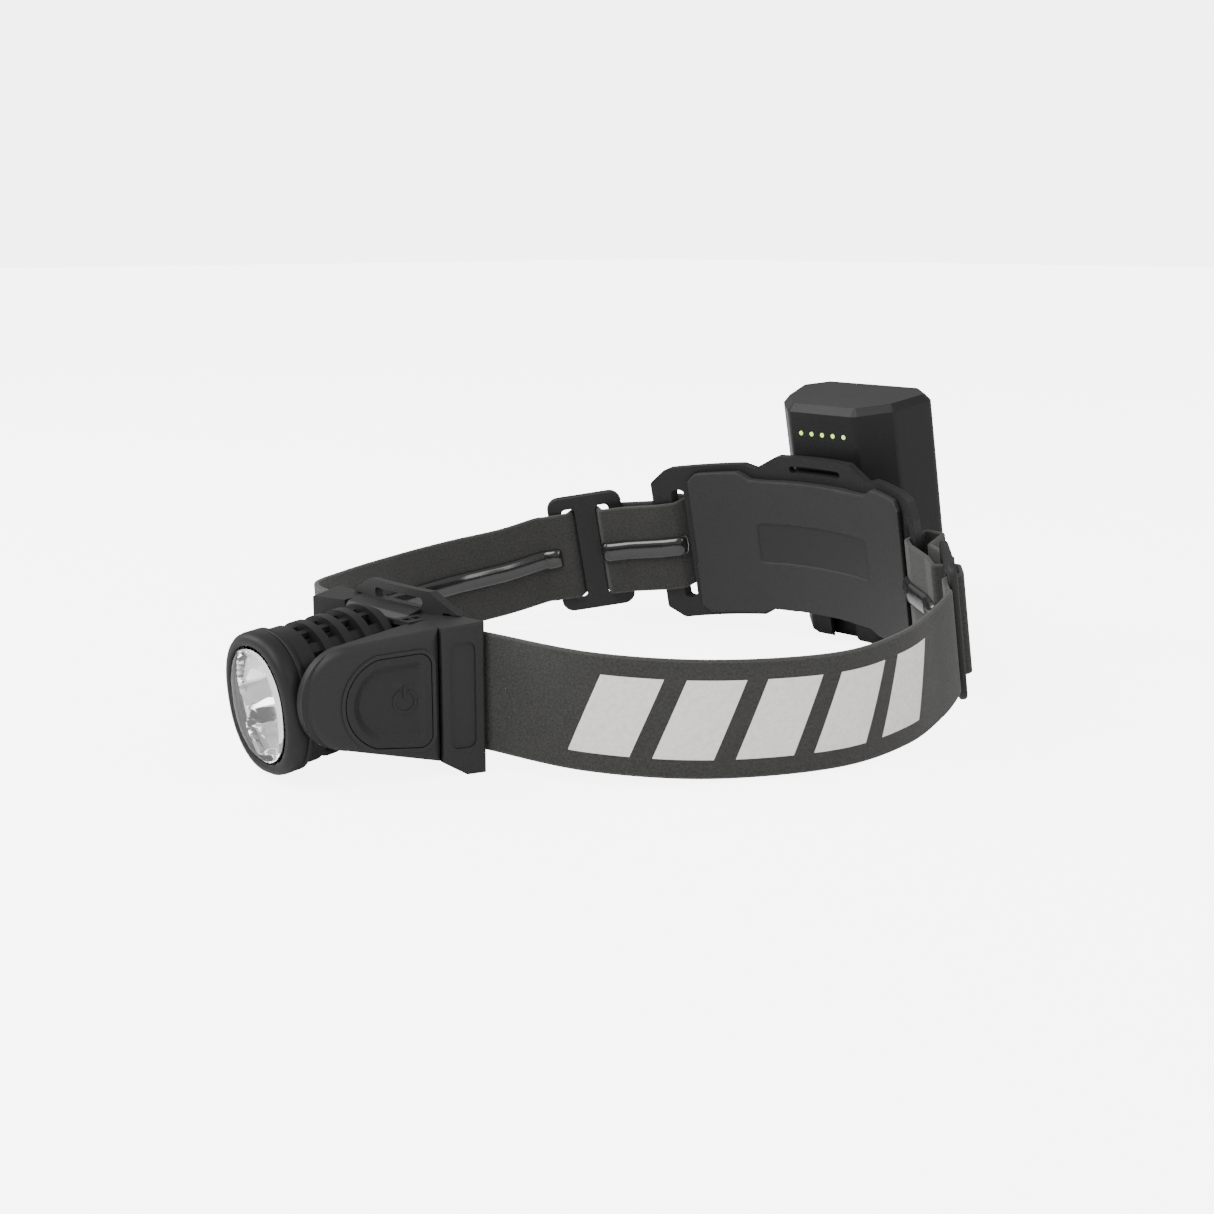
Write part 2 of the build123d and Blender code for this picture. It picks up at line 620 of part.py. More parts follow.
def battery_plan(inset=0.0):
    front, depth = BATTERY_FRONT, BATTERY_DEPTH
    half = [(13.3, front), (22.6, front + 0.3 * depth), (26.6, front + 0.766 * depth),
            (18.5, front + depth)]
    face = fillet(outline(*mirrored(half)).vertices(), 3.2)
    return offset(face, amount=-inset) if inset else face


def channel(grow, high):
    """The T-shaped slot that slides down over the dock's rail."""
    neck = block((-RAIL_NECK - grow, RAIL_NECK + grow), (0, 10.0), (-90, high))
    head = block((-RAIL_HEAD - grow, RAIL_HEAD + grow), (9.9 - grow, 12.0 + grow), (-90, high))
    return neck + head


def battery_shell():
    body = prism(battery_plan(), BATTERY_BOTTOM + 6.0, BATTERY_TOP)
    top = body.faces().sort_by(Axis.Z)[-1].edges()
    body = chamfer(top, 2.2)
    body -= prism(battery_plan(1.6), BATTERY_BOTTOM, BATTERY_TOP - 3.0)
    sleeve = block((-10.2, 10.2), (BATTERY_FRONT + 0.4, 13.3), (BATTERY_BOTTOM + 6.0, RAIL_TOP + 2.0))
    body += sleeve
    body -= channel(FIT, RAIL_TOP + 0.3)
    for x in light_places():
        body -= Pos(x, BATTERY_FRONT, LIGHT_V) * Rot(90, 0, 0) * Cylinder(0.75, 6)
    body -= block((-5.0, 5.0), (BATTERY_BACK - 3, BATTERY_BACK + 1), (PORT_V - 2.1, PORT_V + 2.1))
    return REAR * body


LIGHT_V = 14.2
PORT_V = -34.0


def light_places():
    return [4.3 * step for step in range(-2, 3)]


def battery_end_cap():
    body = prism(battery_plan(), BATTERY_BOTTOM, BATTERY_BOTTOM + 6.0)
    low = body.faces().sort_by(Axis.Z)[0].edges()
    body = chamfer(low, 1.6)
    body -= prism(battery_plan(1.6), BATTERY_BOTTOM + 2.0, BATTERY_BOTTOM + 7.0)
    body += block((-10.2, 10.2), (BATTERY_FRONT + 0.4, 13.3), (BATTERY_BOTTOM + 1.0, BATTERY_BOTTOM + 6.0))
    return REAR * (body - channel(FIT, RAIL_TOP))


def battery_cells():
    depth = BATTERY_BACK - 1.7 - CELL_RADIUS
    middle = BATTERY_BOTTOM + 2.6 + CELL_LENGTH / 2
    cells = [Pos(side * (CELL_RADIUS + 0.3), depth, middle) * Cylinder(CELL_RADIUS, CELL_LENGTH)
             for side in (-1, 1)]
    return REAR * Compound(cells)


def battery_board():
    return REAR * block((-11.0, 11.0), (BATTERY_FRONT + 3.0, BATTERY_FRONT + 4.2), (0.5, 18.6))


def charge_lights():
    pipes = [Pos(x, BATTERY_FRONT + 1.4, LIGHT_V) * Rot(90, 0, 0) * Cylinder(0.7, 3.0)
             for x in light_places()]
    return REAR * Compound(pipes)


def battery_contacts():
    pads = [Pos(x, 12.1, -12.0) * Box(2.2, 0.3, 3.0) for x in (-4.5, 0, 4.5)]
    return REAR * Compound(pads)


def charge_port():
    shell = Box(9.2, 2.6, 3.4) - Pos(0, 0.6, 0) * Box(8.2, 2.4, 2.4) + Pos(0, 0.2, 0) * Box(6.2, 2.0, 0.7)
    return REAR * Pos(0, BATTERY_BACK - 1.6, PORT_V) * shell


COVER_AXIS = (BATTERY_BACK + 0.8, PORT_V + 4.2)


def port_cover():
    depth, rise = COVER_AXIS
    body = block((-6.4, 6.4), (depth - 0.65, depth + 0.65), (rise - 8.2, rise))
    body = fillet(body.edges().filter_by(Axis.Y).sort_by(Axis.Z)[:2], 2.0)
    body += Pos(0, depth, rise) * Rot(0, 90, 0) * Cylinder(0.65, 12.8)
    body -= Pos(0, depth, rise) * Rot(0, 90, 0) * Cylinder(0.4, 20)
    return REAR * body


def port_cover_pin():
    depth, rise = COVER_AXIS
    pin = Pos(0, depth, rise) * Rot(0, 90, 0) * Cylinder(0.35, 15.6)
    for side in (-1, 1):
        pin += block((side * 7.3 - 0.6, side * 7.3 + 0.6), (BATTERY_BACK + 0.02, depth + 0.7),
                     (rise - 0.8, rise + 0.8))
    return REAR * pin


# ------------------------------------------------------------- assembly
parts["bezel"] = bezel()
parts["lens"] = lens()
parts["lens_gasket"] = lens_gasket()
parts["reflector"] = reflector()
parts["led_board"] = led_board()
parts["led_emitters"] = led_emitters()
parts["heat_sink"] = heat_sink()
parts["head_rear_cap"] = head_rear_cap()
parts["forehead_bracket"] = bracket()
parts["forehead_pad"] = forehead_pad()
parts["pivot_screws"] = pivot_screws()
parts["friction_washers"] = friction_washers()
parts["arm_cover_left"] = arm_cover(True)
parts["arm_cover_right"] = other_side(arm_cover(False))
parts["power_button"] = power_button()
parts["button_seal"] = button_seal()
parts["power_switch"] = power_switch()
parts["switch_board"] = switch_board()
pair("strap_holder", strap_holder())
pair("strap_pin", strap_pin())
pair("strap", strap())
pair("grip_strip", grip_strip())
pair("slider", slider())
parts["rear_plate"] = rear_plate()
parts["rear_pad"] = rear_pad()
parts["pad_label"] = pad_label()
parts["battery_dock"] = battery_dock()
parts["dock_screws"] = dock_screws()
parts["contact_pins"] = contact_pins()
parts["battery_shell"] = battery_shell()
parts["battery_end_cap"] = battery_end_cap()
parts["battery_cells"] = battery_cells()
parts["battery_board"] = battery_board()
parts["charge_lights"] = charge_lights()
parts["battery_contacts"] = battery_contacts()
parts["charge_port"] = charge_port()
parts["port_cover"] = port_cover()
parts["port_cover_pin"] = port_cover_pin()

# The origin is the middle of the whole part's box, on the floor.
boxes = [shape.bounding_box() for shape in parts.values()]
low_y = min(box.min.Y for box in boxes)
high_y = max(box.max.Y for box in boxes)
low_z = min(box.min.Z for box in boxes)
shift = Pos(0, -(low_y + high_y) / 2, -low_z)
print("shift", [round(value, 3) for value in shift.position])

os.makedirs("parts", exist_ok=True)
for name, shape in parts.items():
    export_step(shift * shape, "parts/" + name + ".step")
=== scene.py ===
import json
import math

import bmesh
import bpy
from mathutils import Matrix, Vector


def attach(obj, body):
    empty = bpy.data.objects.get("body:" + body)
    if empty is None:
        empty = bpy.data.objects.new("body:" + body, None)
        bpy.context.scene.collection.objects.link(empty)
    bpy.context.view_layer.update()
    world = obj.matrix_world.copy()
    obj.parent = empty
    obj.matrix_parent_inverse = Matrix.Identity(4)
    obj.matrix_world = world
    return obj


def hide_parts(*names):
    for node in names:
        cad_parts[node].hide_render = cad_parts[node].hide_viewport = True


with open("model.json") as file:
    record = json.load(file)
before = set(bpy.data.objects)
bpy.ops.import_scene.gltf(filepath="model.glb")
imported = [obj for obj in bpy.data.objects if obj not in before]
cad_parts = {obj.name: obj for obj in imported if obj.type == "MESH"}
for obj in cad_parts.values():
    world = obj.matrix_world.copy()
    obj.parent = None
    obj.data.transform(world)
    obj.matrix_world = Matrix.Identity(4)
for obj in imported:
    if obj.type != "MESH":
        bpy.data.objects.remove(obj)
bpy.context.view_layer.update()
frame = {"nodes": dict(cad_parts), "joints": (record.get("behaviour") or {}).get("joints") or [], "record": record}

MM = 0.001
NODES = frame["nodes"]

# ------------------------------------------------------------------ places from the frame
TILT = next(joint for joint in frame["joints"] if joint["name"] == "head_tilt")
SLIDE = next(joint for joint in frame["joints"] if joint["name"] == "battery_slide")
PRESS = next(joint for joint in frame["joints"] if joint["name"] == "power_press")
PIVOT = Vector(TILT["pos_m"])
REAR_UP = Vector(SLIDE["axis"]).normalized()
REAR_DEEP = Vector((0, REAR_UP.z, -REAR_UP.y))
ARM_OUT = -Vector(PRESS["axis"]).normalized()
ARM_BACK = Vector((-ARM_OUT.y, ARM_OUT.x, 0))
PIVOT_FORWARD = 100.0  # from the middle of the headband's own plan to the pivot
SHIFT_Y = PIVOT.y + PIVOT_FORWARD * MM
REAR_BACK, REAR_HEIGHT = 86.3, 53.0
REAR_ORIGIN = Vector((0, REAR_BACK * MM + SHIFT_Y, REAR_HEIGHT * MM))
ARM_ACROSS, ARM_FORWARD = 31.0, -72.0
ARM_ORIGIN = Vector((ARM_ACROSS * MM, ARM_FORWARD * MM + SHIFT_Y, 0))
DROOP = math.radians(6.0)  # the lamp looks down a little at rest
HEAD_FORWARD = Vector((0, -math.cos(DROOP), -math.sin(DROOP)))
HEAD_UP = Vector((0, -math.sin(DROOP), math.cos(DROOP)))
HEAD_RISE = 0.8
HEAD_REACH = 2.0


def rear_point(x, depth, v):
    """A point of the leaning rear frame; arguments in millimetres."""
    return REAR_ORIGIN + (Vector((x, 0, 0)) + REAR_DEEP * depth + REAR_UP * v) * MM


def head_point(x, w, h):
    """A point of the lamp head: across, up and forward from the pivot, in millimetres."""
    return PIVOT + (Vector((x, 0, 0)) + HEAD_UP * w + HEAD_FORWARD * (h + HEAD_REACH)) * MM


def arm_point(back, z, out):
    """A point of the button's arm: backwards, up and outwards, in millimetres."""
    return ARM_ORIGIN + (ARM_BACK * back + Vector((0, 0, z)) + ARM_OUT * out) * MM


# ------------------------------------------------------------------ camera, light and floor
CAMERA_AZIMUTH, CAMERA_ELEVATION = math.radians(46.66), math.radians(12.09)
CAMERA_PLACE = (354.1, -336.0, 131.2)
CAMERA_LENS, CAMERA_SENSOR = 51.9, 36.0
AMBIENT_STRENGTH, BACKDROP_STRENGTH = 0.55, 6.6
FLOOR_TONE, FLOOR_ROUGHNESS, FLOOR_HALF = 0.93, 0.8, 6.0
FLOOR_GLOW_ON_OBJECT, FLOOR_GLOW_SEEN = 0.05, 5.6
# name, place, size, power and aim; lengths in metres
LIGHTS = (("key", (0.2, -0.9, 1.1), (0.9, 0.9), 17.0, (0, 0, 0.03)),
          ("rim", (-0.8, -0.6, 0.7), (0.5, 0.7), 8.0, (0, 0, 0.03)),
          ("side", (1.1, 0.3, 0.6), (0.3, 0.9), 3.2, (0.05, 0, 0.03)))


def set_camera():
    azimuth, elevation = CAMERA_AZIMUTH, CAMERA_ELEVATION
    forward = Vector((-math.sin(azimuth) * math.cos(elevation),
                      math.cos(azimuth) * math.cos(elevation), -math.sin(elevation)))
    right = Vector((math.cos(azimuth), math.sin(azimuth), 0))
    up = right.cross(forward)
    data = bpy.data.cameras.new("camera")
    data.lens = CAMERA_LENS
    data.sensor_width = CAMERA_SENSOR
    data.clip_start = 0.01
    camera = bpy.data.objects.new("camera", data)
    bpy.context.scene.collection.objects.link(camera)
    place = Matrix((right, up, -forward)).transposed().to_4x4()
    x, y, z = CAMERA_PLACE
    place.translation = Vector((x * MM, y * MM + SHIFT_Y, z * MM))
    camera.matrix_world = place
    bpy.context.scene.camera = camera


def area_light(name, place, size, power, aim):
    data = bpy.data.lights.new(name, "AREA")
    data.shape = "RECTANGLE"
    data.size, data.size_y = size
    data.energy = power
    light = bpy.data.objects.new(name, data)
    bpy.context.scene.collection.objects.link(light)
    light.location = place
    light.rotation_euler = (Vector(aim) - Vector(place)).to_track_quat("-Z", "Y").to_euler()


def set_world():
    """Soft light from all round, and a brighter white that only the camera sees."""
    world = bpy.data.worlds.new("studio")
    bpy.context.scene.world = world
    world.use_nodes = True
    tree = world.node_tree
    soft = tree.nodes["Background"]
    soft.inputs["Strength"].default_value = AMBIENT_STRENGTH
    soft.inputs["Color"].default_value = (1.0, 1.0, 1.0, 1.0)
    bright = tree.nodes.new("ShaderNodeBackground")
    bright.inputs["Strength"].default_value = BACKDROP_STRENGTH
    path = tree.nodes.new("ShaderNodeLightPath")
    mix = tree.nodes.new("ShaderNodeMixShader")
    tree.links.new(path.outputs["Is Camera Ray"], mix.inputs[0])
    tree.links.new(soft.outputs[0], mix.inputs[1])
    tree.links.new(bright.outputs[0], mix.inputs[2])
    tree.links.new(mix.outputs[0], tree.nodes["World Output"].inputs["Surface"])


def floor_material():
    """White paper that keeps the light it throws on the object low."""
    material = bpy.data.materials.new("floor_paper")
    material.use_nodes = True
    shader = material.node_tree.nodes["Principled BSDF"]
    shader.inputs["Base Color"].default_value = (FLOOR_TONE, FLOOR_TONE, FLOOR_TONE, 1)
    shader.inputs["Roughness"].default_value = FLOOR_ROUGHNESS
    shader.inputs["Emission Color"].default_value = (1, 1, 1, 1)
    path = material.node_tree.nodes.new("ShaderNodeLightPath")
    seen = material.node_tree.nodes.new("ShaderNodeMapRange")
    seen.inputs["To Min"].default_value = FLOOR_GLOW_ON_OBJECT
    seen.inputs["To Max"].default_value = FLOOR_GLOW_SEEN
    material.node_tree.links.new(path.outputs["Is Camera Ray"], seen.inputs["Value"])
    material.node_tree.links.new(seen.outputs["Result"], shader.inputs["Emission Strength"])
    return material


def set_stage():
    set_world()
    for name, place, size, power, aim in LIGHTS:
        area_light(name, place, size, power, aim)
    mesh = bpy.data.meshes.new("floor")
    half = FLOOR_HALF
    mesh.from_pydata([(-half, -half, 0), (half, -half, 0), (half, half, 0), (-half, half, 0)],
                     [], [(0, 1, 2, 3)])
    floor = bpy.data.objects.new("floor", mesh)
    bpy.context.scene.collection.objects.link(floor)
    mesh.materials.append(floor_material())


# ------------------------------------------------------------------ shared shader effects
def new_group(name, inputs, outputs):
    group = bpy.data.node_groups.new(name, "ShaderNodeTree")
    for label, kind, value in inputs:
        socket = group.interface.new_socket(label, in_out="INPUT", socket_type=kind)
        if value is not None:
            socket.default_value = value
    for label, kind in outputs:
        group.interface.new_socket(label, in_out="OUTPUT", socket_type=kind)
    enter = group.nodes.new("NodeGroupInput")
    leave = group.nodes.new("NodeGroupOutput")
    return group, enter, leave


def math_node(tree, operation, first, second=None, third=None):
    node = tree.nodes.new("ShaderNodeMath")
    node.operation = operation
    for index, value in enumerate((first, second, third)):
        if value is None:
            continue
        if isinstance(value, (int, float)):
            node.inputs[index].default_value = value
        else:
            tree.links.new(value, node.inputs[index])
    return node.outputs[0]


def noise_node(tree, vector, scale, detail=2.0):
    node = tree.nodes.new("ShaderNodeTexNoise")
    node.inputs["Scale"].default_value = scale
    node.inputs["Detail"].default_value = detail
    tree.links.new(vector, node.inputs["Vector"])
    return node


def moulding_group():
    """Fine spark-eroded grain with broad, faint handling marks."""
    floats = [("Tone", "NodeSocketFloat", 0.04), ("Roughness", "NodeSocketFloat", 0.5),
              ("Grain Scale", "NodeSocketFloat", 2500.0), ("Variation", "NodeSocketFloat", 0.12)]
    group, enter, leave = new_group(
        "moulding", [("Vector", "NodeSocketVector", None)] + floats,
        [("Color", "NodeSocketColor"), ("Roughness", "NodeSocketFloat"), ("Height", "NodeSocketFloat")])
    grain = group.nodes.new("ShaderNodeTexNoise")
    grain.inputs["Detail"].default_value = 3.0
    group.links.new(enter.outputs["Vector"], grain.inputs["Vector"])
    group.links.new(enter.outputs["Grain Scale"], grain.inputs["Scale"])
    broad = noise_node(group, enter.outputs["Vector"], 45.0, 4.0)
    patch = math_node(group, "SUBTRACT", broad.outputs["Fac"], 0.5)
    speck = math_node(group, "SUBTRACT", grain.outputs["Fac"], 0.5)
    blend = math_node(group, "ADD", patch, math_node(group, "MULTIPLY", speck, 0.8))
    swing = math_node(group, "MULTIPLY", blend, enter.outputs["Variation"])
    lift = math_node(group, "ADD", math_node(group, "MULTIPLY", swing, 1.6), 1.0)
    tone = math_node(group, "MULTIPLY", enter.outputs["Tone"], lift)
    colour = group.nodes.new("ShaderNodeCombineColor")
    for channel in ("Red", "Green", "Blue"):
        group.links.new(tone, colour.inputs[channel])
    group.links.new(colour.outputs["Color"], leave.inputs["Color"])
    rough = math_node(group, "ADD", enter.outputs["Roughness"], swing)
    group.links.new(rough, leave.inputs["Roughness"])
    group.links.new(grain.outputs["Fac"], leave.inputs["Height"])
    return group


# the fourth value is painted shade on the weave: darker in the ribs' dips, lighter on their crossings
WEAVE_TONE, WEAVE_MOTTLE, WEAVE_CLOUD, WEAVE_PAINTED_SHADE = 0.004, 0.046, 0.012, 0.004
SELVEDGE_TONE, SELVEDGE_START = 0.018, 14.35


def weave_group():
    """Elastic webbing: fine ribs across, mottled yarns, a paler selvedge at both edges, and painted shade that
    darkens the ribs' dips and lightens their crossings.
    """
    group, enter, leave = new_group(
        "weave", [("UV", "NodeSocketVector", None), ("Rib", "NodeSocketFloat", 0.0009)],
        [("Color", "NodeSocketColor"), ("Roughness", "NodeSocketFloat"), ("Height", "NodeSocketFloat")])
    split = group.nodes.new("ShaderNodeSeparateXYZ")
    group.links.new(enter.outputs["UV"], split.inputs[0])
    along, across = split.outputs["X"], split.outputs["Y"]
    turns = math_node(group, "DIVIDE", along, enter.outputs["Rib"])
    rows = math_node(group, "DIVIDE", across, math_node(group, "MULTIPLY", enter.outputs["Rib"], 0.62))
    wave_a = math_node(group, "SINE", math_node(group, "MULTIPLY", turns, math.tau))
    wave_b = math_node(group, "SINE", math_node(group, "MULTIPLY", rows, math.tau))
    weave = math_node(group, "MULTIPLY", wave_a, wave_b)
    mottle = noise_node(group, enter.outputs["UV"], 1500.0, 3.0)
    cloud = noise_node(group, enter.outputs["UV"], 160.0, 3.0)
    height = math_node(group, "ADD", math_node(group, "MULTIPLY", weave, 0.3),
                       math_node(group, "MULTIPLY", mottle.outputs["Fac"], 1.2))
    value = math_node(group, "MULTIPLY", mottle.outputs["Fac"], WEAVE_MOTTLE)
    value = math_node(group, "ADD", value, WEAVE_TONE)
    # painted shade and painted highlight: the colour follows the ribs' relief, darker in their dips and lighter on
    # their crossings
    value = math_node(group, "ADD", value, math_node(group, "MULTIPLY", weave, WEAVE_PAINTED_SHADE))
    patch = math_node(group, "SUBTRACT", cloud.outputs["Fac"], 0.5)
    value = math_node(group, "ADD", value, math_node(group, "MULTIPLY", patch, WEAVE_CLOUD))
    edge = math_node(group, "ABSOLUTE", across)
    selvedge = math_node(group, "GREATER_THAN", edge, SELVEDGE_START * MM)
    value = math_node(group, "ADD", value, math_node(group, "MULTIPLY", selvedge, SELVEDGE_TONE))
    colour = group.nodes.new("ShaderNodeCombineColor")
    group.links.new(value, colour.inputs["Red"])
    group.links.new(math_node(group, "MULTIPLY", value, 0.99), colour.inputs["Green"])
    group.links.new(math_node(group, "MULTIPLY", value, 0.90), colour.inputs["Blue"])
    group.links.new(colour.outputs["Color"], leave.inputs["Color"])
    rough = math_node(group, "SUBTRACT", 0.92, math_node(group, "MULTIPLY", mottle.outputs["Fac"], 0.12))
    group.links.new(rough, leave.inputs["Roughness"])
    group.links.new(height, leave.inputs["Height"])
    return group


MOULDING = moulding_group()
WEAVE = weave_group()


# ------------------------------------------------------------------ materials
def start_material(name):
    material = bpy.data.materials.new(name)
    material.use_nodes = True
    tree = material.node_tree
    return material, tree, tree.nodes["Principled BSDF"]


def add_bump(tree, shader, height, distance, strength):
    bump = tree.nodes.new("ShaderNodeBump")
    bump.inputs["Distance"].default_value = distance
    bump.inputs["Strength"].default_value = strength
    tree.links.new(height, bump.inputs["Height"])
    tree.links.new(bump.outputs["Normal"], shader.inputs["Normal"])


def moulded(name, tone, roughness, grain=2500.0, bump=0.35, variation=0.12, metallic=0.0, coat=0.0):
    """Dark moulded or anodised surface with procedural grain."""
    material, tree, shader = start_material(name)
    where = tree.nodes.new("ShaderNodeTexCoord")
    effect = tree.nodes.new("ShaderNodeGroup")
    effect.node_tree = MOULDING
    effect.inputs["Tone"].default_value = tone
    effect.inputs["Roughness"].default_value = roughness
    effect.inputs["Grain Scale"].default_value = grain
    effect.inputs["Variation"].default_value = variation
    tree.links.new(where.outputs["Object"], effect.inputs["Vector"])
    tree.links.new(effect.outputs["Color"], shader.inputs["Base Color"])
    tree.links.new(effect.outputs["Roughness"], shader.inputs["Roughness"])
    shader.inputs["Metallic"].default_value = metallic
    shader.inputs["Specular IOR Level"].default_value = 0.5 if coat else 0.28
    shader.inputs["Coat Weight"].default_value = coat
    shader.inputs["Coat Roughness"].default_value = 0.12
    add_bump(tree, shader, effect.outputs["Height"], 0.00006, bump)
    return material


def tinted(name, colour, roughness, metallic=0.0, bump=0.1):
    """A coloured surface with a slight, procedural unevenness."""
    material, tree, shader = start_material(name)
    where = tree.nodes.new("ShaderNodeTexCoord")
    noise = noise_node(tree, where.outputs["Object"], 900.0, 3.0)
    ramp = tree.nodes.new("ShaderNodeMapRange")
    ramp.inputs["To Min"].default_value = roughness * 0.85
    ramp.inputs["To Max"].default_value = roughness * 1.15
    tree.links.new(noise.outputs["Fac"], ramp.inputs["Value"])
    tree.links.new(ramp.outputs["Result"], shader.inputs["Roughness"])
    shader.inputs["Base Color"].default_value = (*colour, 1)
    shader.inputs["Metallic"].default_value = metallic
    add_bump(tree, shader, noise.outputs["Fac"], 0.00004, bump)
    return material


def webbing_material():
    material, tree, shader = start_material("webbing")
    where = tree.nodes.new("ShaderNodeUVMap")
    where.uv_map = "strap"
    effect = tree.nodes.new("ShaderNodeGroup")
    effect.node_tree = WEAVE
    tree.links.new(where.outputs["UV"], effect.inputs["UV"])
    tree.links.new(effect.outputs["Color"], shader.inputs["Base Color"])
    tree.links.new(effect.outputs["Roughness"], shader.inputs["Roughness"])
    shader.inputs["Sheen Weight"].default_value = 0.15
    shader.inputs["Sheen Roughness"].default_value = 0.5
    add_bump(tree, shader, effect.outputs["Height"], 0.00015, 0.7)
    return material


def print_material():
    """Pebbled, off-white reflective ink."""
    material, tree, shader = start_material("reflective_ink")
    where = tree.nodes.new("ShaderNodeUVMap")
    where.uv_map = "strap"
    pebble = tree.nodes.new("ShaderNodeTexVoronoi")
    pebble.inputs["Scale"].default_value = 900.0
    tree.links.new(where.outputs["UV"], pebble.inputs["Vector"])
    ramp = tree.nodes.new("ShaderNodeValToRGB")
    ramp.color_ramp.elements[0].color = (0.92, 0.89, 0.85, 1)
    ramp.color_ramp.elements[1].color = (0.78, 0.75, 0.71, 1)
    tree.links.new(pebble.outputs["Distance"], ramp.inputs["Fac"])
    tree.links.new(ramp.outputs["Color"], shader.inputs["Base Color"])
    shader.inputs["Roughness"].default_value = 0.42
    add_bump(tree, shader, pebble.outputs["Distance"], 0.0001, 0.6)
    return material


def glass_material():
    material, tree, shader = start_material("clear_lens")
    where = tree.nodes.new("ShaderNodeTexCoord")
    noise = noise_node(tree, where.outputs["Object"], 60.0, 2.0)
    ramp = tree.nodes.new("ShaderNodeMapRange")
    ramp.inputs["To Min"].default_value = 0.0
    ramp.inputs["To Max"].default_value = 0.03
    tree.links.new(noise.outputs["Fac"], ramp.inputs["Value"])
    tree.links.new(ramp.outputs["Result"], shader.inputs["Roughness"])
    shader.inputs["Base Color"].default_value = (1, 1, 1, 1)
    shader.inputs["Transmission Weight"].default_value = 1.0
    shader.inputs["IOR"].default_value = 1.35
    return material


def glowing(name, colour, strength):
    """A small light or phosphor that shines by itself."""
    material, tree, shader = start_material(name)
    where = tree.nodes.new("ShaderNodeTexCoord")
    noise = noise_node(tree, where.outputs["Object"], 3000.0, 1.0)
    ramp = tree.nodes.new("ShaderNodeValToRGB")
    ramp.color_ramp.elements[0].color = (*[part * 0.8 for part in colour], 1)
    ramp.color_ramp.elements[1].color = (*colour, 1)
    tree.links.new(noise.outputs["Fac"], ramp.inputs["Fac"])
    tree.links.new(ramp.outputs["Color"], shader.inputs["Base Color"])
    tree.links.new(ramp.outputs["Color"], shader.inputs["Emission Color"])
    shader.inputs["Emission Strength"].default_value = strength
    shader.inputs["Roughness"].default_value = 0.3
    return material


MATERIALS = {
    "head_black": moulded("head_black", 0.019, 0.50, 3500.0, 0.12, 0.10, metallic=0.25),
    "clear_lens": glass_material(),
    "seal_rubber": moulded("seal_rubber", 0.022, 0.7, 1800.0, 0.3),
    "reflector_chrome": tinted("reflector_chrome", (0.97, 0.97, 0.98), 0.05, 1.0, 0.03),
    "board_green": tinted("board_green", (0.03, 0.16, 0.07), 0.5),
    "led_phosphor": glowing("led_phosphor", (0.9, 0.75, 0.25), 0.4),
    "housing_plastic": moulded("housing_plastic", 0.020, 0.52, 2600.0, 0.25),
    "pad_foam": moulded("pad_foam", 0.025, 0.85, 1100.0, 0.8, 0.2),
    "screw_steel": tinted("screw_steel", (0.5, 0.5, 0.52), 0.32, 1.0),
    "washer_nylon": tinted("washer_nylon", (0.55, 0.55, 0.52), 0.55),
    "button_rubber": moulded("button_rubber", 0.017, 0.55, 2600.0, 0.3),
    "switch_plastic": moulded("switch_plastic", 0.09, 0.5),
    "webbing": webbing_material(),
    "grip_silicone": moulded("grip_silicone", 0.016, 0.16, 1200.0, 0.03, 0.04, coat=0.6),
    "slider_plastic": moulded("slider_plastic", 0.019, 0.50, 2600.0, 0.22),
    "plate_plastic": moulded("plate_plastic", 0.020, 0.50, 2600.0, 0.22),
    "pad_rubber": moulded("pad_rubber", 0.033, 0.62, 2300.0, 0.55, 0.10),
    "label_inlay": moulded("label_inlay", 0.024, 0.45, 2800.0, 0.12, 0.08),
    "contact_brass": tinted("contact_brass", (0.83, 0.62, 0.27), 0.25, 1.0),
    "battery_black": moulded("battery_black", 0.012, 0.42, 3200.0, 0.12, 0.10),
    "cell_wrap": tinted("cell_wrap", (0.05, 0.17, 0.42), 0.3),
    "charge_light": glowing("charge_light", (0.55, 0.95, 0.12), 1.6),
    "port_steel": tinted("port_steel", (0.6, 0.6, 0.62), 0.3, 1.0),
}
REFLECTIVE_INK = print_material()


# ------------------------------------------------------------------ mesh helpers
def finish_mesh(name, body, slot, mesh, material=None, smooth=40.0):
    """Puts a finished mesh on a body, with its finish and smooth shading."""
    mesh.materials.clear()
    mesh.materials.append(material or MATERIALS[slot])
    for polygon in mesh.polygons:
        polygon.use_smooth = True
    mesh.set_sharp_from_angle(angle=math.radians(smooth))
    piece = bpy.data.objects.new(name, mesh)
    bpy.context.scene.collection.objects.link(piece)
    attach(piece, body)
    return piece


def mesh_from(bm, name):
    bmesh.ops.remove_doubles(bm, verts=bm.verts, dist=1e-7)
    bmesh.ops.recalc_face_normals(bm, faces=bm.faces)
    mesh = bpy.data.meshes.new(name)
    bm.to_mesh(mesh)
    bm.free()
    return mesh


def oval_point(half, grow, angle):
    """A point of the head's rounded-rectangle outline, in millimetres."""
    power = 2 / 2.25
    c, s = math.cos(angle), math.sin(angle)
    x = math.copysign(abs(c) ** power, c) * (half[0] + grow)
    w = HEAD_RISE + math.copysign(abs(s) ** power, s) * (half[1] + grow)
    return x, w


def oval_rings(bm, half, profile, closed, steps=96):
    """Sweeps a profile of (forward, grow) pairs round the head's outline."""
    rings = []
    for forward, grow in profile:
        points = [oval_point(half, grow, math.tau * k / steps) for k in range(steps)]
        rings.append([bm.verts.new(head_point(x, w, forward)) for x, w in points])
    pairs = list(zip(rings, rings[1:]))
    if closed:
        pairs.append((rings[-1], rings[0]))
    for ring, following in pairs:
        for k in range(steps):
            m = (k + 1) % steps
            bm.faces.new((ring[k], ring[m], following[m], following[k]))
    if not closed:
        bm.faces.new(rings[0])
        bm.faces.new(rings[-1])
    return rings


